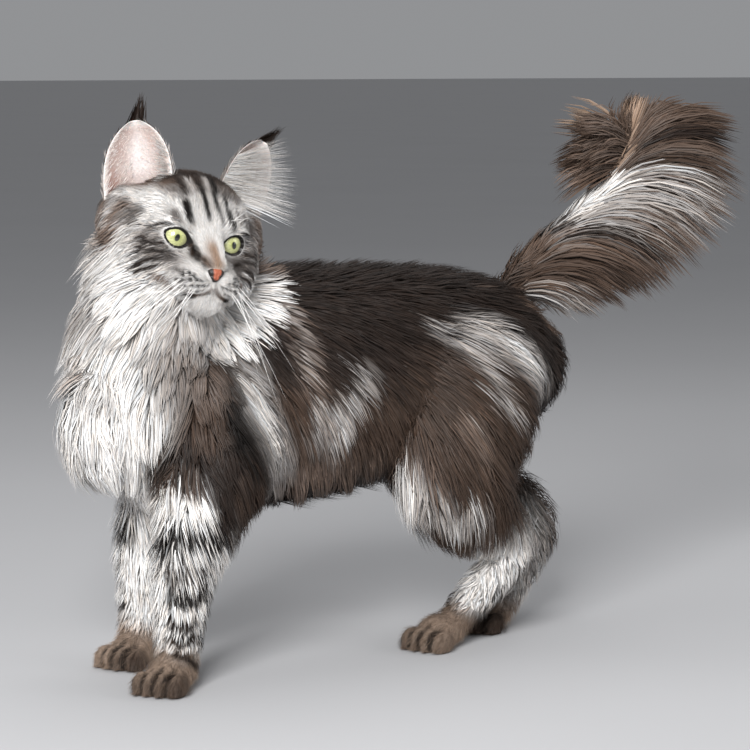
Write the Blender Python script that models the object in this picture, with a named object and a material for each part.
"""A Maine Coon cat at life size, standing with its head turned to its left and its tail raised.

Metres, +Z up. The cat faces -X, its left side is -Y and it stands on Z = 0. Lengths in the
head's own frame are millimetres: side (to the cat's left), front (out of the face) and up.
"""

import math

import bmesh
import bpy
import numpy as np
from mathutils import Matrix, Vector
from mathutils.bvhtree import BVHTree

GAP = 0.0003
MM = 0.001
COAT_SHARE = 0.45

# Torso, from the chest to the rump: x, y, z, half across, half up, coat depth
TORSO = (
    (-0.222, 0.000, 0.212, 0.026, 0.040, 0.026),
    (-0.195, 0.000, 0.219, 0.042, 0.067, 0.030),
    (-0.150, 0.000, 0.232, 0.053, 0.088, 0.026),
    (-0.090, 0.000, 0.239, 0.056, 0.087, 0.024),
    (-0.020, 0.000, 0.239, 0.058, 0.082, 0.025),
    (0.050, 0.000, 0.242, 0.056, 0.076, 0.026),
    (0.110, 0.000, 0.246, 0.054, 0.067, 0.023),
    (0.160, 0.000, 0.242, 0.046, 0.055, 0.021),
    (0.192, 0.000, 0.235, 0.030, 0.038, 0.019),
)

# Neck with the ruff round it, from the breast up to the back of the head
NECK = (
    (-0.168, 0.000, 0.180, 0.036, 0.036, 0.028),
    (-0.176, 0.000, 0.215, 0.048, 0.050, 0.036),
    (-0.180, 0.000, 0.255, 0.050, 0.052, 0.039),
    (-0.182, -0.004, 0.295, 0.050, 0.051, 0.038),
    (-0.178, -0.010, 0.332, 0.047, 0.048, 0.034),
    (-0.172, -0.012, 0.362, 0.038, 0.040, 0.022),
)

# Left foreleg, from the shoulder to the paw: x, y, z, half across, half fore and aft, coat
FORELEG = (
    (-0.142, -0.036, 0.235, 0.028, 0.046, 0.012),
    (-0.150, -0.044, 0.185, 0.027, 0.041, 0.014),
    (-0.168, -0.048, 0.138, 0.020, 0.029, 0.015),
    (-0.183, -0.048, 0.095, 0.016, 0.021, 0.013),
    (-0.188, -0.048, 0.055, 0.015, 0.017, 0.009),
    (-0.191, -0.048, 0.022, 0.016, 0.017, 0.005),
)

FORELEG_RIGHT_BACK = 0.021

# Left hindleg, from the hip over the hock to the paw
HINDLEG = (
    (0.112, -0.032, 0.250, 0.034, 0.058, 0.020),
    (0.100, -0.042, 0.203, 0.034, 0.058, 0.022),
    (0.088, -0.049, 0.158, 0.029, 0.048, 0.024),
    (0.102, -0.050, 0.122, 0.022, 0.033, 0.020),
    (0.136, -0.048, 0.094, 0.015, 0.020, 0.014),
    (0.146, -0.046, 0.074, 0.013, 0.016, 0.010),
    (0.126, -0.044, 0.052, 0.013, 0.015, 0.008),
    (0.098, -0.041, 0.026, 0.015, 0.014, 0.005),
)
HINDLEG_RIGHT_SHIFT = (0.080, 0.018, 0.004)
HINDLEG_RIGHT_TOP_SHIFT = (0.018, 0.000, 0.000)
HINDLEG_RIGHT_INWARD = 0.026

# Tail bone: x, y, z, half across, plume on the lower side, plume on the upper side
TAIL = (
    (0.150, 0.000, 0.276, 0.026, 0.030, 0.022),
    (0.182, 0.000, 0.304, 0.024, 0.055, 0.018),
    (0.210, 0.000, 0.330, 0.026, 0.082, 0.016),
    (0.242, 0.000, 0.352, 0.028, 0.094, 0.014),
    (0.272, 0.000, 0.374, 0.030, 0.102, 0.016),
    (0.295, 0.000, 0.397, 0.030, 0.102, 0.022),
    (0.311, 0.000, 0.418, 0.026, 0.080, 0.026),
    (0.318, 0.000, 0.436, 0.018, 0.040, 0.020),
)

# Paws: x, y of the middle, turn of the toes from -X towards the cat's left in degrees
PAWS = {
    "forepaw_left": (-0.197, -0.052, 34),
    "forepaw_right": (-0.174, 0.046, 26),
    "hindpaw_left": (0.078, -0.041, 22),
    "hindpaw_right": (0.158, -0.002, 30),
}
PAW_LENGTH = 0.060
PAW_WIDTH = 0.047
PAW_HEIGHT = 0.031
FOOT_SHARE = (0.44, 0.46, 0.52)
FOOT_UP = 0.013
TOE_RADIUS = 0.0082
TOE_SHAPE = (1.0, 1.6, 1.25)
TOE_SPACING = 1.28
TOE_FRONT = 0.28
TOE_UP = 0.9

# Toes of a paw: off its middle line, forward, and raised
TOES = ((-1.45, 0.0048, 0.0), (-0.5, 0.008, 0.0015), (0.5, 0.008, 0.0015), (1.45, 0.0048, 0.0))

# Head: its middle, how far it is turned to the left, tipped up and leant to the left
HEAD_AT = (-0.167, -0.030, 0.358)
HEAD_TURN = 81
HEAD_NOD = -2
HEAD_LEAN = 9
HEAD_CORE = (0, 6, -4)
HEAD_REACH = (8.0, 130.0)
HEAD_BLEND = 3.2
HEAD_SIDES = 34
HEAD_RINGS = 22
FACE_SHARE = 0.38
HALVINGS = 26

# Round forms of the head: middle and radii; those off the middle are on both sides
HEAD_BALLS = {
    "skull": ((0, -6, 13), (46, 44, 39)),
    "cheek": ((27, 4, -14), (27, 32, 28)),
    "temple": ((46, -18, 12), (21, 18, 22)),
    "jaw": ((0, 10, -28), (36, 36, 20)),
    "brow": ((19, 25, 13), (13, 11, 8)),
    "muzzle_root": ((0, 38, -25), (25, 20, 18)),
    "whisker_pad": ((10.5, 54, -29), (13.5, 14, 11)),
    "chin": ((0, 50, -44), (12.5, 11, 9)),
    "lids": ((22, 25, 2.5), (13.4, 13.4, 13.4)),
}
NOSE_BRIDGE = ((0, 34, 9), 10.5, (0, 61, -15), 8.2)

EYE_AT = (22, 25, 2.5)
EYE_RADIUS = 12.0
EYE_OPENING = (10.2, 7.8)
EYE_OPENING_DEPTHS = (6.0, 24.0)
EYE_CORNERS = 0.25
EYE_OUTWARD = 11
EYE_SLANT = 16

NOSE_AT = (0, 65.5, -20.5)
NOSE_RADII = (7.6, 5.6, 6.2)

EAR_INNER = (19, 0, 40)
EAR_OUTER = (67, -22, 22)
EAR_TIP = (57, -9, 88)
EAR_CUP = 15.0
EAR_WALL = 2.0
EAR_FOOT = -0.16
EAR_HEAD = 0.985
EAR_ROUND = (3, 0.75)
EAR_FLATTEN = 0.45
EAR_THIN = 0.35
EAR_ACROSS = 8
EAR_UP = 7

# The mouth: half of its line from the middle to a corner, side and up
MOUTH_LINE = ((0, -34.0), (6, -37.0), (12, -38.0), (18, -36.8), (22.5, -34.0))
MOUTH_GROOVE = 1.1
LIP_GROOVE = 0.8
LIP_SPLIT = ((0, -26.5), (0, -30.5), (0, -35.0))
NOSTRIL_AT = (3.7, 70.6, -22.3)
NOSTRIL_RADII = (1.7, 2.4, 1.1)

# The lie of the coat: a place, the way the hair points there, both sides alike
COAT_LIE = (
    ((-0.060, 0.000, 0.330), (1.0, 0.0, -0.05)),
    ((0.080, 0.000, 0.315), (1.0, 0.0, -0.10)),
    ((0.175, 0.000, 0.290), (0.8, 0.0, -0.60)),
    ((-0.070, 0.065, 0.270), (0.85, 0.0, -0.50)),
    ((0.030, 0.065, 0.260), (0.90, 0.0, -0.45)),
    ((0.120, 0.065, 0.260), (0.85, 0.0, -0.55)),
    ((-0.070, 0.060, 0.170), (0.45, 0.0, -0.90)),
    ((0.020, 0.060, 0.170), (0.60, 0.0, -0.80)),
    ((0.090, 0.065, 0.160), (0.50, 0.0, -0.85)),
    ((0.180, 0.040, 0.210), (0.30, 0.0, -0.95)),
    ((-0.120, 0.060, 0.220), (0.45, 0.0, -0.90)),
    ((-0.215, 0.050, 0.300), (-0.05, 0.35, -0.95)),
    ((-0.240, 0.000, 0.300), (-0.25, 0.0, -0.95)),
    ((-0.235, 0.000, 0.220), (0.10, 0.0, -1.0)),
    ((-0.200, 0.050, 0.210), (0.15, 0.05, -1.0)),
    ((-0.150, 0.045, 0.345), (0.35, 0.45, -0.80)),
    ((-0.115, 0.020, 0.340), (0.90, 0.10, -0.30)),
)

# Rows of locks on the neck: height, ring from and to in degrees from -X, number, length, lift
RUFF_ROWS = (
    (0.374, 20, 205, 5, 0.070, 0.018),
    (0.340, -50, 225, 8, 0.078, 0.024),
    (0.305, -140, 200, 11, 0.084, 0.029),
    (0.262, -145, 150, 10, 0.084, 0.029),
    (0.222, -110, 100, 8, 0.080, 0.025),
    (0.186, -70, 70, 6, 0.074, 0.020),
)

# Locks of the cheeks, the ear's furnishings and its tip: root, way, bend, length, width
HEAD_LOCKS = (
    ((43, -6, 15), (0.90, -0.20, -0.30), (0.02, -0.05, -0.24), 52, 19),
    ((44, 0, -1), (0.85, -0.15, -0.52), (0.00, -0.06, -0.20), 60, 21),
    ((40, 5, -16), (0.70, -0.12, -0.75), (-0.02, -0.05, -0.16), 64, 21),
    ((31, 12, -28), (0.46, -0.10, -0.90), (-0.03, -0.05, -0.12), 58, 20),
    ((38, -20, 4), (0.95, -0.40, -0.25), (0.00, -0.06, -0.28), 68, 22),
    ((22, 2, 42), (0.75, 0.42, 0.42), (0.08, -0.10, -0.06), 44, 8),
    ((25, 1, 38), (0.90, 0.42, 0.14), (0.04, -0.10, -0.08), 48, 8),
    ((30, 1, 34), (0.95, 0.36, -0.05), (0.00, -0.10, -0.08), 42, 8),
    ((21, 1, 45), (0.45, 0.30, 0.85), (0.12, -0.08, 0.00), 36, 7),
    ((54.6, -14, 78), (0.12, 0.40, 0.95), (0.03, 0.10, -0.03), 30, 7),
    ((58, -13, 76), (0.30, 0.30, 0.90), (-0.04, 0.08, 0.02), 25, 6),
)

# Rows of locks round the body: place along it, angles from the back down each side, length, lift
BODY_ROWS = (
    (-0.160, (80, 104), 0.080, 0.016),
    (-0.125, (12, 42, 66, 92, 120), 0.095, 0.018),
    (-0.070, (0, 28, 54, 82, 110), 0.105, 0.019),
    (-0.005, (14, 40, 68, 96, 126), 0.108, 0.019),
    (0.060, (0, 28, 58, 90), 0.100, 0.019),
    (0.118, (16, 46, 76), 0.085, 0.018),
    (0.158, (0, 62, 92), 0.066, 0.017),
    (0.180, (38, 84), 0.058, 0.014),
)
BODY_WIDTH = 0.038
BODY_SCATTER = 0.012

# The belly's fringe: its ends along the body, locks a side, their place round it, way and bend
BELLY_ENDS = (-0.100, 0.055)
BELLY_LOCKS = 8
BELLY_ANGLE = 150
BELLY_MIDDLE = (0.012, 0.22)
BELLY_WAY = (0.35, 0.10, -0.95)
BELLY_BEND = (0.14, 0.0, -0.04)
BELLY_LENGTH = 0.055
BELLY_SINK = 0.006

# Locks of the legs: height, degrees from straight behind towards the outer side, length, lift
THIGH_LOCKS = (
    (0.205, 55, 0.070, 0.013),
    (0.205, 10, 0.070, 0.013),
    (0.205, -35, 0.070, 0.013),
    (0.165, 80, 0.070, 0.013),
    (0.165, 40, 0.070, 0.013),
    (0.165, 0, 0.070, 0.013),
    (0.155, 151, 0.050, 0.012),
    (0.128, 148, 0.050, 0.012),
)
FORELEG_LOCKS = (
    (0.172, 15, 0.048, 0.009),
    (0.136, 15, 0.046, 0.009),
    (0.102, 15, 0.044, 0.008),
    (0.072, 15, 0.036, 0.007),
    (0.178, 150, 0.064, 0.009),
    (0.172, 95, 0.064, 0.009),
    (0.150, 180, 0.060, 0.009),
)
LEG_DROOP = 0.6

# The plume's rows: how far round the bone from its lower side
PLUME_ROWS = 9
PLUME_FAN = (-66, -22, 22, 66)
PLUME_EXTRA = 0.058
PLUME_SIDE_SHORTER = 0.22
PLUME_LEAVE = 0.62
PLUME_BEND = 0.48
PLUME_FALL = 0.16
PLUME_WIDTH = 0.036
PLUME_OFF = 0.006
PLUME_SHARE = 0.50
BONE = (0.010, 0.008, 0.009)
TIP_TUFT = ((0.1, 0.12), 0.2, 0.012, 0.046, 0.014)
HOOKS = ((-0.55, 0.0, 0.75), (-0.16, 0.0, -0.30), 0.058, 0.020)

LOCK_WIDTH = 0.028
LOCK_THICK = 0.0055
LOCK_SINK = 0.005
LOCK_RISE = 0.6
LOCK_STEPS = 4
LOCK_LEAN = 0.25
LOCK_OUTLINE = (0.55, 1.5, 1.75)
LOCK_THINNING = 0.8
LOCK_BACK = 0.3
LOCK_FOLD = 0.55
LIE_NEAR = 0.012

FLAT_ANGLE = math.radians(4.5)
VOXEL = 0.0055
CORE_TRIANGLES = 1050
SIDES = 20
ROUND_END = 0.55

# Colour of each kind of node, and roughness
COAT_COLOURS = {
    "head": (0.55, 0.53, 0.51),
    "neck": (0.62, 0.60, 0.57),
    "torso": (0.10, 0.085, 0.075),
    "tail": (0.20, 0.16, 0.14),
    "leg": (0.48, 0.45, 0.42),
    "hock": (0.55, 0.52, 0.48),
    "paw": (0.42, 0.36, 0.31),
    "ear": (0.50, 0.42, 0.38),
}
EYE_COLOUR = (0.45, 0.50, 0.14)
NOSE_COLOUR = (0.42, 0.15, 0.10)
COAT_ROUGHNESS = 0.75
EYE_ROUGHNESS = 0.1
NOSE_ROUGHNESS = 0.5


def remove_scene():
    """Empties the file it is run in."""
    for item in list(bpy.data.objects):
        bpy.data.objects.remove(item, do_unlink=True)


def mesh_object(name, points, faces):
    """A new object from points and faces, with its faces pointing out."""
    mesh = bpy.data.meshes.new(name)
    mesh.from_pydata([tuple(p) for p in points], [], [tuple(f) for f in faces])
    item = bpy.data.objects.new(name, mesh)
    bpy.context.scene.collection.objects.link(item)
    work = bmesh.new()
    work.from_mesh(mesh)
    bmesh.ops.recalc_face_normals(work, faces=work.faces)
    work.to_mesh(mesh)
    work.free()
    return item


def smooth_path(stations, steps):
    """Catmull-Rom curve through the stations, all columns alike."""
    rows = np.asarray(stations, float)
    padded = np.vstack([2 * rows[0] - rows[1], rows, 2 * rows[-1] - rows[-2]])
    along = np.linspace(0, len(rows) - 1, steps)
    first = np.minimum(along.astype(int), len(rows) - 2)
    u = (along - first)[:, None]
    a, b, c, d = (padded[first + i] for i in range(4))
    return 0.5 * (2 * b + (c - a) * u + (2 * a - 5 * b + 4 * c - d) * u**2 + (3 * b - a - 3 * c + d) * u**3)


def unit(vectors):
    """Each row at length one."""
    vectors = np.asarray(vectors, float)
    return vectors / np.linalg.norm(vectors, axis=-1, keepdims=True)


def tube_faces(rings, sides):
    """Quads round a tube of rings, then a fan at each end to a pole point."""
    faces = []
    for i in range(rings - 1):
        for j in range(sides):
            k = (j + 1) % sides
            faces.append((i * sides + j, i * sides + k, (i + 1) * sides + k, (i + 1) * sides + j))
    first_pole = rings * sides
    last = (rings - 1) * sides
    for j in range(sides):
        k = (j + 1) % sides
        faces.append((first_pole, k, j))
        faces.append((first_pole + 1, last + j, last + k))
    return faces


def loft(name, middle, across, deep, across_axis=(0, 1, 0), sides=SIDES):
    """An ellipse carried along a path of middles, with a rounded end at each pole."""
    tangent = unit(np.gradient(middle, axis=0))
    side = np.asarray(across_axis, float) - (tangent @ np.asarray(across_axis, float))[:, None] * tangent
    side = unit(side)
    up = np.cross(tangent, side)
    end = np.minimum(across, deep)
    start_ring = middle[0] - tangent[0] * end[0] * ROUND_END
    close_ring = middle[-1] + tangent[-1] * end[-1] * ROUND_END
    middle_all = np.vstack([start_ring, middle, close_ring])
    narrow = math.sqrt(1 - ROUND_END**2)
    across_all = np.concatenate([[across[0] * narrow], across, [across[-1] * narrow]])
    deep_all = np.concatenate([[deep[0] * narrow], deep, [deep[-1] * narrow]])
    side_all = np.vstack([side[:1], side, side[-1:]])
    up_all = np.vstack([up[:1], up, up[-1:]])
    turn = np.linspace(0, 2 * math.pi, sides, endpoint=False)
    ring = (
        middle_all[:, None, :]
        + across_all[:, None, None] * np.cos(turn)[None, :, None] * side_all[:, None, :]
        + deep_all[:, None, None] * np.sin(turn)[None, :, None] * up_all[:, None, :]
    )
    poles = np.array([middle[0] - tangent[0] * end[0], middle[-1] + tangent[-1] * end[-1]])
    points = np.vstack([ring.reshape(-1, 3), poles])
    return mesh_object(name, points, tube_faces(len(middle_all), sides))


def sphere_points(sides, rings):
    """A ball of radius one as rings from pole to pole, then its two poles."""
    turn = np.linspace(0, 2 * math.pi, sides, endpoint=False)
    tilt = np.linspace(0, math.pi, rings + 1)[1:-1]
    shape = np.stack(
        [
            np.sin(tilt)[:, None] * np.cos(turn)[None, :],
            np.sin(tilt)[:, None] * np.sin(turn)[None, :],
            np.repeat(np.cos(tilt)[:, None], sides, axis=1),
        ],
        axis=-1,
    ).reshape(-1, 3)
    return np.vstack([shape, [(0, 0, 1), (0, 0, -1)]])


def ball(name, centre, radii, axes=None, sides=12, rings=8):
    """An ellipsoid at a place; axes are its own directions, one a row."""
    points = sphere_points(sides, rings) * np.asarray(radii, float)
    axes = np.eye(3) if axes is None else np.asarray(axes, float)
    return mesh_object(name, points @ axes + np.asarray(centre, float), tube_faces(rings - 1, sides))


def limb(name, stations, steps=26):
    """A leg, neck or torso: the flesh with its coat's depth added all round."""
    rows = smooth_path(stations, steps)
    coat = rows[:, 5] * COAT_SHARE
    return loft(name, rows[:, :3], rows[:, 3] + coat, rows[:, 4] + coat)


def right_foreleg():
    """The left foreleg's mirror image, set a little further back."""
    return [(x + FORELEG_RIGHT_BACK, -y, *rest) for x, y, *rest in FORELEG]


def right_hindleg():
    """The right hindleg stands further back, its foot under the belly's middle."""
    rows = []
    for i, (x, y, *rest) in enumerate(HINDLEG):
        share = min(i / 4, 1.0)
        moved = [
            top + (low - top) * share
            for top, low in zip(HINDLEG_RIGHT_TOP_SHIFT, HINDLEG_RIGHT_SHIFT)
        ]
        inward = HINDLEG_RIGHT_INWARD * max(0.0, (i - 4) / 3)
        rows.append((x + moved[0], -y - moved[1] * share - inward, rest[0] + moved[2], *rest[1:]))
    return rows


def head_axes():
    """The head's side, front and up directions, one a row."""
    turn = math.radians(HEAD_TURN)
    nod = math.radians(HEAD_NOD)
    lean = math.radians(HEAD_LEAN)
    level = np.array([-math.cos(turn), -math.sin(turn), 0.0])
    side = np.cross([0, 0, 1.0], level)
    front = level * math.cos(nod) + np.array([0, 0, math.sin(nod)])
    up = np.cross(front, side)
    leant = side * math.cos(lean) - up * math.sin(lean)
    up = side * math.sin(lean) + up * math.cos(lean)
    return np.array([leant, front, up])


def in_head(points):
    """Points in the head's millimetres as places in the scene."""
    return np.asarray(HEAD_AT) + MM * np.asarray(points, float) @ head_axes()


def head_field(points, forms=HEAD_BALLS):
    """How far points lie outside the head: ellipsoids and the nose bridge, softly joined."""
    total = np.zeros(len(points))
    for centre, radii in forms.values():
        sides = (1,) if centre[0] == 0 else (1, -1)
        for sign in sides:
            away = (points - np.array(centre) * (sign, 1, 1)) / radii
            far = (np.linalg.norm(away, axis=1) - 1) * np.mean(radii)
            total += np.exp(-far / HEAD_BLEND)
    start, start_radius, end, end_radius = NOSE_BRIDGE
    line = np.subtract(end, start)
    along = np.clip((points - start) @ line / (line @ line), 0, 1)
    far = np.linalg.norm(points - start - along[:, None] * line, axis=1)
    far = far - start_radius - (end_radius - start_radius) * along
    total += np.exp(-far / HEAD_BLEND)
    return -HEAD_BLEND * np.log(total)


def head_points(sides, rings):
    """The head's surface, as distances from a point inside it over a sphere of directions.

    The poles are at the muzzle and the nape, and the rings lie closer on the face.
    """
    turn = np.linspace(0, 2 * math.pi, sides, endpoint=False)
    share = np.linspace(0, 1, rings + 2)
    tilt = math.pi * ((1 - FACE_SHARE) * share + FACE_SHARE * share**2)
    direction = np.stack(
        [
            np.sin(tilt)[:, None] * np.cos(turn),
            np.cos(tilt)[:, None] * np.ones(sides),
            np.sin(tilt)[:, None] * np.sin(turn),
        ],
        axis=-1,
    )
    poles = direction[[0, -1], 0]
    direction = unit(np.vstack([direction[1:-1].reshape(-1, 3), poles]))
    near = np.full(len(direction), HEAD_REACH[0])
    far = np.full(len(direction), HEAD_REACH[1])
    for _ in range(HALVINGS):
        half = (near + far) / 2
        inside = head_field(np.array(HEAD_CORE) + half[:, None] * direction) < 0
        near = np.where(inside, half, near)
        far = np.where(inside, far, half)
    return np.array(HEAD_CORE) + near[:, None] * direction


def face_depth(side, up):
    """How far the face comes forward at a place seen from the front, in the head's millimetres."""
    near, far = 0.0, HEAD_REACH[1]
    for _ in range(HALVINGS):
        half = (near + far) / 2
        inside = head_field(np.array([(side, half, up)]))[0] < 0
        near, far = (half, far) if inside else (near, half)
    return near


def groove(name, places, radius):
    """A cutter that runs along the face's surface through places given as side and up."""
    rows = smooth_path([(side, up) for side, up in places], 3 * len(places))
    path = np.array([(side, face_depth(side, up), up) for side, up in rows])
    thick = np.full(len(path), radius * MM)
    return loft(name, in_head(path), thick, thick, across_axis=head_axes()[1], sides=6)


def make_head(name):
    """The head as one closed surface."""
    points = in_head(head_points(HEAD_SIDES, HEAD_RINGS))
    return mesh_object(name, points, tube_faces(HEAD_RINGS, HEAD_SIDES))


def make_ear(name, sign):
    """One ear: a cup, curved across, its rim rounded at the top and its root in the head."""
    inner = np.array(EAR_INNER, float)
    outer = np.array(EAR_OUTER, float)
    tip = np.array(EAR_TIP, float)
    root = (inner + outer) / 2
    across = unit(outer - inner)
    upward = tip - root
    opening = unit(np.cross(upward, across))
    half_width = np.linalg.norm(outer - inner) / 2
    v = np.linspace(EAR_FOOT, EAR_HEAD, EAR_UP + 1)
    u = np.linspace(-1, 1, EAR_ACROSS + 1)
    height = np.clip(v, 0, 1)
    width = half_width * (1 - height ** EAR_ROUND[0]) ** EAR_ROUND[1]
    cup = EAR_CUP * (1 - height) ** EAR_FLATTEN
    place = (
        root
        + v[:, None, None] * upward
        + (u[None, :] * width[:, None])[..., None] * across
        - (cup[:, None] * (1 - u[None, :] ** 2))[..., None] * opening
    )
    along_u = np.gradient(place, axis=1)
    along_v = np.gradient(place, axis=0)
    normal = unit(np.cross(along_u, along_v))
    wall = EAR_WALL * (1 - EAR_THIN * height)[:, None, None] / 2
    shell = np.concatenate([(place + normal * wall).reshape(-1, 3), (place - normal * wall).reshape(-1, 3)])
    shell[:, 0] *= sign
    rows, columns = len(v), len(u)
    faces = []
    back = rows * columns
    for i in range(rows - 1):
        for j in range(columns - 1):
            a, b = i * columns + j, i * columns + j + 1
            c, d = b + columns, a + columns
            faces += [(a, b, c), (a, c, d)]
            faces += [(back + a, back + c, back + b), (back + a, back + d, back + c)]
    rim = list(range(columns))
    rim += [i * columns + columns - 1 for i in range(1, rows)]
    rim += [(rows - 1) * columns + j for j in range(columns - 2, -1, -1)]
    rim += [i * columns for i in range(rows - 2, 0, -1)]
    for a, b in zip(rim, rim[1:] + rim[:1]):
        faces += [(a, back + a, back + b), (a, back + b, b)]
    return mesh_object(name, in_head(shell), faces)


def eye_axes(sign):
    """The eye's own side, front and up: turned a little outward, with its outer corner raised."""
    out = math.radians(EYE_OUTWARD) * sign
    slant = math.radians(EYE_SLANT) * sign
    front = np.array([math.sin(out), math.cos(out), 0.0])
    side = np.array([math.cos(out), -math.sin(out), 0.0])
    up = np.array([0, 0, 1.0])
    tipped = side * math.cos(slant) + up * math.sin(slant)
    up = up * math.cos(slant) - side * math.sin(slant)
    return np.array([tipped, front, up])


def make_eye(name, sign, grow=0.0):
    """One eyeball."""
    centre = in_head(np.array(EYE_AT) * (sign, 1, 1))
    radius = EYE_RADIUS * MM + grow
    axes = eye_axes(sign) @ head_axes()
    return ball(name, centre, (radius,) * 3, axes[[0, 2, 1]], sides=12, rings=8)


def make_eye_opening(name, sign):
    """The almond between the lids, as a prism out through them."""
    half_wide, half_high = EYE_OPENING
    turn = np.linspace(0, 2 * math.pi, 16, endpoint=False)
    high = half_high * np.sin(turn) * (1 - EYE_CORNERS * np.cos(turn) ** 2)
    outline = np.stack([half_wide * np.cos(turn), high], axis=-1)
    axes = eye_axes(sign)
    poles = [np.array(EYE_AT) * (sign, 1, 1) + depth * axes[1] for depth in EYE_OPENING_DEPTHS]
    rings = [pole + outline @ axes[[0, 2]] for pole in poles]
    return mesh_object(name, in_head(np.vstack(rings + [poles])), tube_faces(2, len(turn)))


def make_nose(name, grow=0.0):
    """The nose leather: broad above, drawn in to the split of the lip below."""
    points = sphere_points(12, 8)
    taper = 0.62 + 0.38 * np.clip(points[:, 2] + 0.6, 0, 1)
    points[:, 0] *= taper
    radii = np.array(NOSE_RADII) + grow / MM
    return mesh_object(name, in_head(np.array(NOSE_AT) + points * radii), tube_faces(7, 12))


def make_nostril(name, sign):
    """The hollow of one nostril."""
    centre = in_head(np.array(NOSTRIL_AT) * (sign, 1, 1))
    return ball(name, centre, np.array(NOSTRIL_RADII) * MM, head_axes(), sides=6, rings=4)


def boolean(item, others, operation):
    """Joins a collection of closed meshes to an object or cuts them from it, and removes them."""
    group = bpy.data.collections.new("pieces")
    bpy.context.scene.collection.children.link(group)
    for other in others:
        group.objects.link(other)
    step = item.modifiers.new("join", "BOOLEAN")
    step.operation = operation
    step.operand_type = "COLLECTION"
    step.collection = group
    step.solver = "MANIFOLD"
    apply_modifiers(item)
    for other in others:
        bpy.data.objects.remove(other, do_unlink=True)
    bpy.data.collections.remove(group)


def apply_modifiers(item):
    """Replaces an object's mesh by the one its modifiers make."""
    graph = bpy.context.evaluated_depsgraph_get()
    made = bpy.data.meshes.new_from_object(item.evaluated_get(graph))
    item.modifiers.clear()
    item.data = made


def copy_of(item, name):
    """A second object with its own copy of the mesh."""
    twin = bpy.data.objects.new(name, item.data.copy())
    bpy.context.scene.collection.objects.link(twin)
    return twin


def soften(item, triangles):
    """Melts overlapping forms into one even skin of about so many triangles."""
    remesh = item.modifiers.new("skin", "REMESH")
    remesh.mode = "VOXEL"
    remesh.voxel_size = VOXEL
    smooth = item.modifiers.new("smooth", "SMOOTH")
    smooth.factor = 0.6
    smooth.iterations = 5
    apply_modifiers(item)
    faces = sum(len(face.vertices) - 2 for face in item.data.polygons)
    thin = item.modifiers.new("thin", "DECIMATE")
    thin.ratio = min(1.0, triangles / faces)
    thin.use_collapse_triangulate = True
    apply_modifiers(item)


def keep_largest(item):
    """Leaves only the largest closed surface of a mesh; surfaces meet across whole edges."""
    work = bmesh.new()
    work.from_mesh(item.data)
    unseen = set(work.faces)
    surfaces = []
    while unseen:
        stack = [unseen.pop()]
        surface = []
        while stack:
            face = stack.pop()
            surface.append(face)
            for edge in face.edges:
                for other in edge.link_faces:
                    if other in unseen:
                        unseen.remove(other)
                        stack.append(other)
        surfaces.append(surface)
    surfaces.sort(key=lambda surface: sum(face.calc_area() for face in surface))
    for surface in surfaces[:-1]:
        bmesh.ops.delete(work, geom=surface, context="FACES")
    work.to_mesh(item.data)
    work.free()


def merge_flat(item):
    """Joins neighbouring faces that lie in one plane, then cuts all faces into triangles."""
    work = bmesh.new()
    work.from_mesh(item.data)
    bmesh.ops.dissolve_limit(work, angle_limit=FLAT_ANGLE, verts=work.verts, edges=work.edges)
    bmesh.ops.triangulate(work, faces=work.faces)
    work.to_mesh(item.data)
    work.free()


def box_at(name, base, towards, reach, half_a, half_b, turn_axis=(0, 1, 0), grow=0.0):
    """A box whose near face is at base, reaching along a direction; grow moves every face out."""
    ahead = unit(towards)
    a = unit(np.asarray(turn_axis, float) - (np.asarray(turn_axis, float) @ ahead) * ahead)
    b = np.cross(ahead, a)
    points = []
    for far in (-grow, reach + grow):
        for i, j in ((-1, -1), (1, -1), (1, 1), (-1, 1)):
            points.append(np.asarray(base) + far * ahead + i * (half_a + grow) * a + j * (half_b + grow) * b)
    faces = [(0, 1, 2, 3), (4, 5, 6, 7), (0, 1, 5, 4), (1, 2, 6, 5), (2, 3, 7, 6), (3, 0, 4, 7)]
    return mesh_object(name, points, faces)


def paint(item, colour, roughness):
    """Gives a node a material of its own."""
    material = bpy.data.materials.new(item.name)
    material.use_nodes = True
    shader = material.node_tree.nodes["Principled BSDF"]
    shader.inputs["Base Color"].default_value = (*colour, 1.0)
    shader.inputs["Roughness"].default_value = roughness
    shader.inputs["Metallic"].default_value = 0.0
    item.data.materials.clear()
    item.data.materials.append(material)


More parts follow.
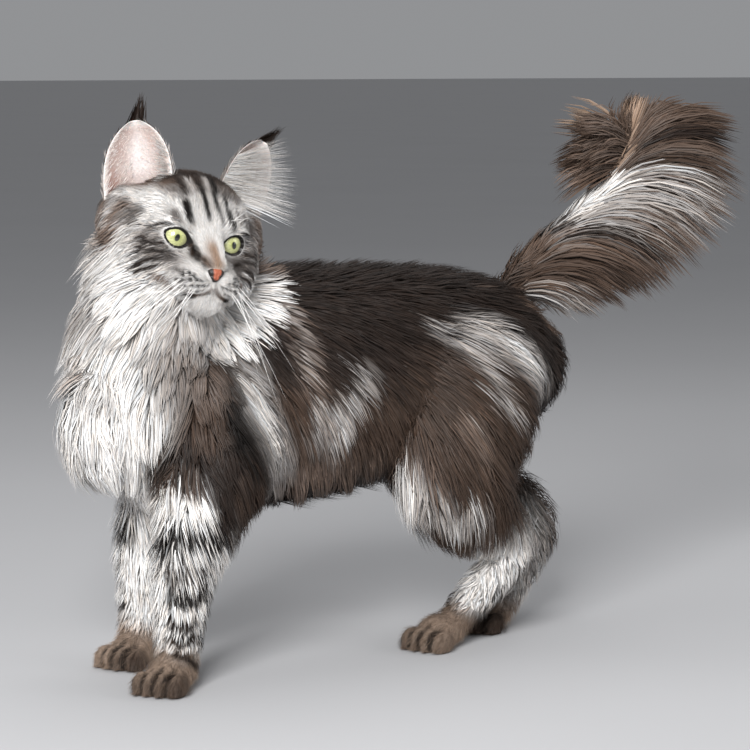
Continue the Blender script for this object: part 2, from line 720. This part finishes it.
class Coat:
    """Lays locks over a core: each follows the lie of the coat and lifts towards its tip."""

    def __init__(self, *forms):
        places, faces = [], []
        for form in forms:
            faces += [tuple(len(places) + i for i in face.vertices) for face in form.data.polygons]
            places += [vertex.co.copy() for vertex in form.data.vertices]
        self.tree = BVHTree.FromPolygons(places, faces)
        self.chance = np.random.default_rng(11)
        self.locks = []

    def vary(self, value, share=0.16):
        """A value changed at random by up to a share of it."""
        return value * (1 + share * self.chance.uniform(-1, 1))

    def lie(self, point):
        """The way the hair points at a place: the named strokes, the nearest counting most."""
        total = np.zeros(3)
        for (x, y, z), (dx, dy, dz) in COAT_LIE:
            for sign in ((1,) if y == 0 else (1, -1)):
                away = np.linalg.norm(point - (x, sign * y, z))
                total += unit((dx, sign * dy, dz)) / (away + LIE_NEAR) ** 3
        return unit(total)

    def root(self, inside, towards):
        """Where a ray from inside the body leaves the core."""
        start = Vector(inside) + 0.4 * Vector(towards)
        place, _, _, _ = self.tree.ray_cast(start, -Vector(towards))
        return None if place is None else np.array(place)

    def on_body(self, root, length, lift, width=LOCK_WIDTH, droop=0.0, thick=LOCK_THICK):
        """A lock that creeps along the core from its root and rises off it towards the tip."""
        steps = LOCK_STEPS
        length, lift, width = self.vary(length), self.vary(lift), self.vary(width)
        path, normals = [], []
        place = np.array(root, float)
        way = None
        for i in range(steps):
            near, normal, _, _ = self.tree.find_nearest(Vector(place))
            near, normal = np.array(near), np.array(normal)
            share = i / (steps - 1)
            height = -LOCK_SINK + (LOCK_SINK + lift) * share**LOCK_RISE
            place = near + normal * height
            path.append(place)
            normals.append(normal)
            lie = self.lie(place) + np.array([0, 0, -droop * share])
            if way is not None:
                lie = 0.5 * unit(lie) + 0.5 * way
            way = unit(lie - (lie @ normal) * normal * (1 - 0.5 * share))
            place = near + way * length / (steps - 1)
        self.add(np.array(path), np.array(normals), width, thick)

    def free(self, root, way, length, bend, width=LOCK_WIDTH, thick=LOCK_THICK):
        """A lock that leaves the core along a direction and is bent evenly by a second one."""
        length, width, bend = self.vary(length), self.vary(width), np.asarray(bend, float)
        step = length / (LOCK_STEPS - 1)
        path = [np.array(root, float)]
        way = unit(way)
        for _ in range(LOCK_STEPS - 1):
            path.append(path[-1] + way * step)
            way = unit(way + bend)
        path = np.array(path)
        along = unit(np.gradient(path, axis=0))
        face = np.cross(np.cross(along, -bend), along)
        self.add(path, unit(face), width, thick)

    def add(self, path, normals, width, thick):
        """The closed mesh of one lock: a ridged, flat blade drawn out to a point.

        A lock that would fold over itself is left out.
        """
        along = unit(np.gradient(path, axis=0))
        lean = self.chance.uniform(-LOCK_LEAN, LOCK_LEAN)
        side = unit(np.cross(along, normals))
        turns = np.sum(along[1:] * along[:-1], axis=1)
        twists = np.sum(side[1:] * side[:-1], axis=1)
        if min(turns.min(), twists.min()) < LOCK_FOLD:
            return
        up = np.cross(side, along)
        leant = side * math.cos(lean) + up * math.sin(lean)
        side, up = leant, up * math.cos(lean) - side * math.sin(lean)
        share = np.linspace(0, 1, len(path))[:, None]
        base, swell, draw_in = LOCK_OUTLINE
        half = width / 2 * (base + swell * share - draw_in * share**2)
        high = thick * (1 - LOCK_THINNING * share)
        corners = np.stack([path - side * half, path + side * half, path + up * high], axis=1)
        corners[:, :2] -= (up * high * LOCK_BACK)[:, None]
        points = np.vstack([corners[:-1].reshape(-1, 3), path[-1:]])
        rings = len(path) - 1
        faces = [(0, 2, 1)]
        for i in range(rings - 1):
            for j in range(3):
                k = (j + 1) % 3
                faces.append((3 * i + j, 3 * i + k, 3 * i + 3 + k))
                faces.append((3 * i + j, 3 * i + 3 + k, 3 * i + 3 + j))
        last = 3 * (rings - 1)
        faces += [(last + j, last + (j + 1) % 3, 3 * rings) for j in range(3)]
        self.locks.append(mesh_object("lock", points, faces))


def ring_direction(degrees, axis):
    """A direction round an axis: round the neck from -X, or round the body from its back."""
    angle = math.radians(degrees)
    if axis == "neck":
        return np.array([-math.cos(angle), math.sin(angle), 0.0])
    return np.array([0.0, math.sin(angle), math.cos(angle)])


def ruff_locks(coat):
    """The ruff and the bib, in tiers from the cheeks down to the breast."""
    for height, low, high, count, length, lift in RUFF_ROWS:
        middle = smooth_at(NECK, 2, height)
        for i in range(count):
            degrees = low + (high - low) * (i + coat.chance.uniform(0.2, 0.8)) / count
            root = coat.root((middle[0], middle[1], height), ring_direction(degrees, "neck"))
            if root is not None:
                coat.on_body(root, length, lift)


def head_locks(coat):
    """Tufts at the cheeks, across the openings of the ears and on the tips of the ears."""
    axes = head_axes()
    for place, way, bend, length, width in HEAD_LOCKS:
        for sign in (1, -1):
            flip = np.array([sign, 1, 1])
            root = in_head(np.array(place) * flip)
            ahead, turn = (way * flip) @ axes, (bend * flip) @ axes
            coat.free(root, ahead, length * MM, turn, width * MM, max(width * 0.3, 2.0) * MM)


def body_locks(coat):
    """The long coat of the back and flanks, each row lapping over the next."""
    for x, angles, length, lift in BODY_ROWS:
        middle = smooth_at(TORSO, 0, x)
        for angle in angles:
            for sign in ((1,) if angle == 0 else (1, -1)):
                degrees = sign * coat.vary(angle, 0.05)
                place = (x + coat.chance.uniform(-BODY_SCATTER, BODY_SCATTER), 0, middle[2])
                root = coat.root(place, ring_direction(degrees, "body"))
                if root is not None:
                    coat.on_body(root, length, lift, width=BODY_WIDTH)


def belly_locks(coat):
    """The fringe under the belly, hanging down and back on both sides."""
    for sign in (1, -1):
        flip = (1, sign, 1)
        for x in np.linspace(*BELLY_ENDS, BELLY_LOCKS):
            middle = (x, BELLY_MIDDLE[0] * sign, BELLY_MIDDLE[1])
            angle = sign * coat.vary(BELLY_ANGLE, 0.06)
            root = coat.root(middle, ring_direction(angle, "body"))
            if root is not None:
                start = root + (0, 0, BELLY_SINK)
                coat.free(start, np.multiply(BELLY_WAY, flip), BELLY_LENGTH, np.multiply(BELLY_BEND, flip))


def smooth_at(stations, column, value):
    """The stations' row where one column has a value, between its neighbours in proportion."""
    rows = np.asarray(stations, float)
    order = np.argsort(rows[:, column])
    return np.array([np.interp(value, rows[order, column], rows[order, i]) for i in range(rows.shape[1])])


def axis_at(stations, height):
    """Where a leg's axis passes a height, above its hock."""
    rows = np.array([row[:3] for row in stations[:5]])
    return [np.interp(-height, -rows[:, 2], rows[:, i]) for i in (0, 1)]


def leg_locks(coat):
    """Britches behind the thighs, a fringe at the knees and feathering behind the forelegs."""
    for sign, hind, fore in ((-1, HINDLEG, FORELEG), (1, right_hindleg(), right_foreleg())):
        for leg, rows in ((hind, THIGH_LOCKS), (fore, FORELEG_LOCKS)):
            for height, degrees, length, lift in rows:
                angle = math.radians(degrees)
                outward = (math.cos(angle), sign * math.sin(angle), 0)
                root = coat.root((*axis_at(leg, height), height), outward)
                if root is not None:
                    coat.on_body(root, length, lift, droop=LEG_DROOP)


def tail_locks(coat):
    """The plume: hair leaves the bone along the tail and falls over to its lower side."""
    rows = smooth_path(TAIL, PLUME_ROWS)
    tangents = unit(np.gradient(rows[:, :3], axis=0))
    for row, tangent in list(zip(rows, tangents))[1:]:
        lower = unit(np.cross((0, 1, 0), tangent))
        for degrees in PLUME_FAN:
            angle = math.radians(coat.vary(degrees, 0.1))
            out = lower * math.cos(angle) + np.array([0, math.sin(angle), 0])
            length = (row[4] + PLUME_EXTRA) * (1 - PLUME_SIDE_SHORTER * abs(math.sin(angle)))
            bend = PLUME_BEND * lower + np.array([0, 0, -PLUME_FALL])
            coat.free(row[:3] + PLUME_OFF * out, tangent + PLUME_LEAVE * out, length, bend, PLUME_WIDTH)
    tip, ahead = rows[-1, :3], tangents[-1]
    spread, rise, back, length, width = TIP_TUFT
    for side in (-1, 0, 1):
        way = ahead + (spread[0] * side, spread[1] * side, rise)
        coat.free(tip - back * ahead, way, length, (0.02 * side, 0, 0.02), width)
    way, bend, length, width = HOOKS
    for row in rows[-4:-1]:
        coat.free(row[:3], way, length, bend, width)


def make_tail():
    """The tail's bone with the plume that hangs from its lower side."""
    rows = smooth_path(TAIL, 26)
    tangent = unit(np.gradient(rows[:, :3], axis=0))
    lower = unit(np.cross((0, 1, 0), tangent))
    below = BONE[0] + (rows[:, 4] - BONE[0]) * PLUME_SHARE
    above = BONE[1] + (rows[:, 5] - BONE[1]) * COAT_SHARE
    middle = rows[:, :3] + lower * ((below - above) / 2)[:, None]
    across = BONE[2] + (rows[:, 3] - BONE[2]) * (1 + COAT_SHARE) / 2
    return loft("tail", middle, across, (below + above) / 2)


def make_paw(name):
    """One paw: the foot and four toes."""
    x, y, degrees = PAWS[name]
    turn = math.radians(degrees)
    ahead = np.array([-math.cos(turn), -math.sin(turn), 0.0])
    side = np.array([math.sin(turn), -math.cos(turn), 0.0])
    axes = np.array([side, ahead, (0, 0, 1.0)])
    middle = np.array([x, y, 0.0])
    foot_radii = np.multiply((PAW_WIDTH, PAW_LENGTH, PAW_HEIGHT), FOOT_SHARE)
    pieces = [ball("foot", middle + (0, 0, FOOT_UP), foot_radii, axes, 10, 5)]
    for off, forward, high in TOES:
        centre = middle + side * off * TOE_RADIUS * TOE_SPACING + ahead * (PAW_LENGTH * TOE_FRONT + forward)
        centre = centre + np.array([0, 0, TOE_RADIUS * TOE_UP + high])
        pieces.append(ball("toe", centre, TOE_RADIUS * np.array(TOE_SHAPE), axes, 7, 4))
    return pieces


def make_whole():
    """The flesh and coat of the cat as one closed body, cut flat where it stands on the floor."""
    forms = [
        limb("torso", TORSO),
        limb("neck", NECK),
        limb("foreleg_left", FORELEG),
        limb("foreleg_right", right_foreleg()),
        limb("hindleg_left", HINDLEG, 34),
        limb("hindleg_right", right_hindleg(), 34),
        make_tail(),
    ]
    core = forms[0]
    work = bmesh.new()
    for form in forms:
        work.from_mesh(form.data)
    work.to_mesh(core.data)
    work.free()
    for form in forms[1:]:
        bpy.data.objects.remove(form, do_unlink=True)
    soften(core, CORE_TRIANGLES)
    head = make_head("head")
    coat = Coat(core, head)
    for lay in (ruff_locks, head_locks, body_locks, belly_locks, leg_locks, tail_locks):
        lay(coat)
    pieces = [head] + coat.locks
    for sign, side in ((1, "left"), (-1, "right")):
        pieces.append(make_ear(f"ear_{side}", sign))
    for name in PAWS:
        pieces += make_paw(name)
    boolean(core, pieces, "UNION")
    cutters = [make_nose("nose_place", GAP)]
    for sign in (1, -1):
        cutters.append(make_eye("eye_place", sign, GAP))
        cutters.append(make_eye_opening("lid_opening", sign))
        half_mouth = [(sign * side, up) for side, up in MOUTH_LINE]
        cutters.append(groove("mouth", half_mouth, MOUTH_GROOVE))
    cutters.append(groove("lip_split", LIP_SPLIT, LIP_GROOVE))
    floor = box_at("floor", (0, 0, 0), (0, 0, -1), 0.1, 1.0, 1.0)
    boolean(core, cutters + [floor], "DIFFERENCE")
    return core


def head_box(base, towards, reach, half_a, half_b):
    """A cutting box given in the head's frame, as the values box_at takes."""
    axes = head_axes()
    return (in_head(base), np.asarray(towards, float) @ axes, reach * MM, half_a * MM, half_b * MM, axes[0])


def cells():
    """Where each node is parted from the rest, in the order in which they are cut off."""
    ear_across = unit(np.subtract(EAR_OUTER, EAR_INNER))
    ear_up = unit(np.cross((0, 1, 0), ear_across) * -1)
    ear_middle = (np.array(EAR_INNER) + EAR_OUTER) / 2 + ear_up * 1.5 + ear_across * 6
    parts = {}
    for sign, side in ((1, "left"), (-1, "right")):
        flip = np.array([sign, 1, 1])
        parts[f"ear_{side}"] = head_box(ear_middle * flip, ear_up * flip, 90, 29, 40)
    parts["head"] = ((-0.190, -0.030, 0.302), (-0.10, -0.45, 1.0), 0.3, 0.2, 0.096)
    parts["forepaw_left"] = ((-0.2, -0.1001, 0.028), (0, 0, -1), 0.1, 0.1, 0.2)
    parts["forepaw_right"] = ((-0.2, 0.1001, 0.028), (0, 0, -1), 0.1, 0.1, 0.2)
    parts["foreleg_left"] = ((-0.2, -0.1001, 0.150), (0.15, 0, -1), 0.3, 0.1, 0.11)
    parts["foreleg_right"] = ((-0.2, 0.1001, 0.150), (0.15, 0, -1), 0.3, 0.1, 0.11)
    parts["neck"] = ((-0.150, 0, 0.245), (-0.80, 0, 0.60), 0.4, 0.3, 0.3)
    parts["tail_tip"] = ((0.262, 0, 0.366), (0.66, 0, 0.75), 0.4, 0.2, 0.3)
    parts["tail_middle"] = ((0.216, 0, 0.332), (0.80, 0, 0.60), 0.4, 0.2, 0.3)
    parts["tail_root"] = ((0.190, 0, 0.300), (0.80, 0, 0.60), 0.4, 0.2, 0.075)
    parts["hindpaw_left"] = ((0.08, -0.1191, 0.026), (0, 0, -1), 0.1, 0.1, 0.1)
    parts["hindpaw_right"] = ((0.16, 0.0811, 0.026), (0, 0, -1), 0.1, 0.1, 0.1)
    parts["hock_left"] = ((0.12, -0.1191, 0.088), (0, 0, -1), 0.2, 0.1, 0.1)
    parts["hock_right"] = ((0.20, 0.0811, 0.092), (0, 0, -1), 0.2, 0.1, 0.1)
    parts["hindleg_left"] = ((0.12, -0.2001, 0.176), (-0.2, -0.13, -1), 0.3, 0.2, 0.11)
    parts["hindleg_right"] = ((0.16, 0.2001, 0.176), (-0.2, -0.13, -1), 0.3, 0.2, 0.13)
    return parts


def main():
    remove_scene()
    rest = make_whole()
    nodes = []
    for name, place in cells().items():
        node = copy_of(rest, name)
        boolean(node, [box_at("cell", *place)], "INTERSECT")
        boolean(rest, [box_at("cell", *place, grow=GAP)], "DIFFERENCE")
        nodes.append(node)
    rest.name = "torso"
    nodes.append(rest)
    for node in nodes:
        merge_flat(node)
        keep_largest(node)
        kind = next(key for key in COAT_COLOURS if key in node.name)
        paint(node, COAT_COLOURS[kind], COAT_ROUGHNESS)
    for sign, side in ((1, "left"), (-1, "right")):
        eye = make_eye(f"eye_{side}", sign)
        paint(eye, EYE_COLOUR, EYE_ROUGHNESS)
        nodes.append(eye)
    nose = make_nose("nose")
    boolean(nose, [make_nostril("nostril", sign) for sign in (1, -1)], "DIFFERENCE")
    paint(nose, NOSE_COLOUR, NOSE_ROUGHNESS)
    nodes.append(nose)
    corners = np.array([node.matrix_world @ Vector(c) for node in nodes for c in node.bound_box])
    middle = (corners.min(axis=0) + corners.max(axis=0)) / 2
    shift = Matrix.Translation((-middle[0], -middle[1], 0))
    for node in nodes:
        node.data.transform(shift)


main()
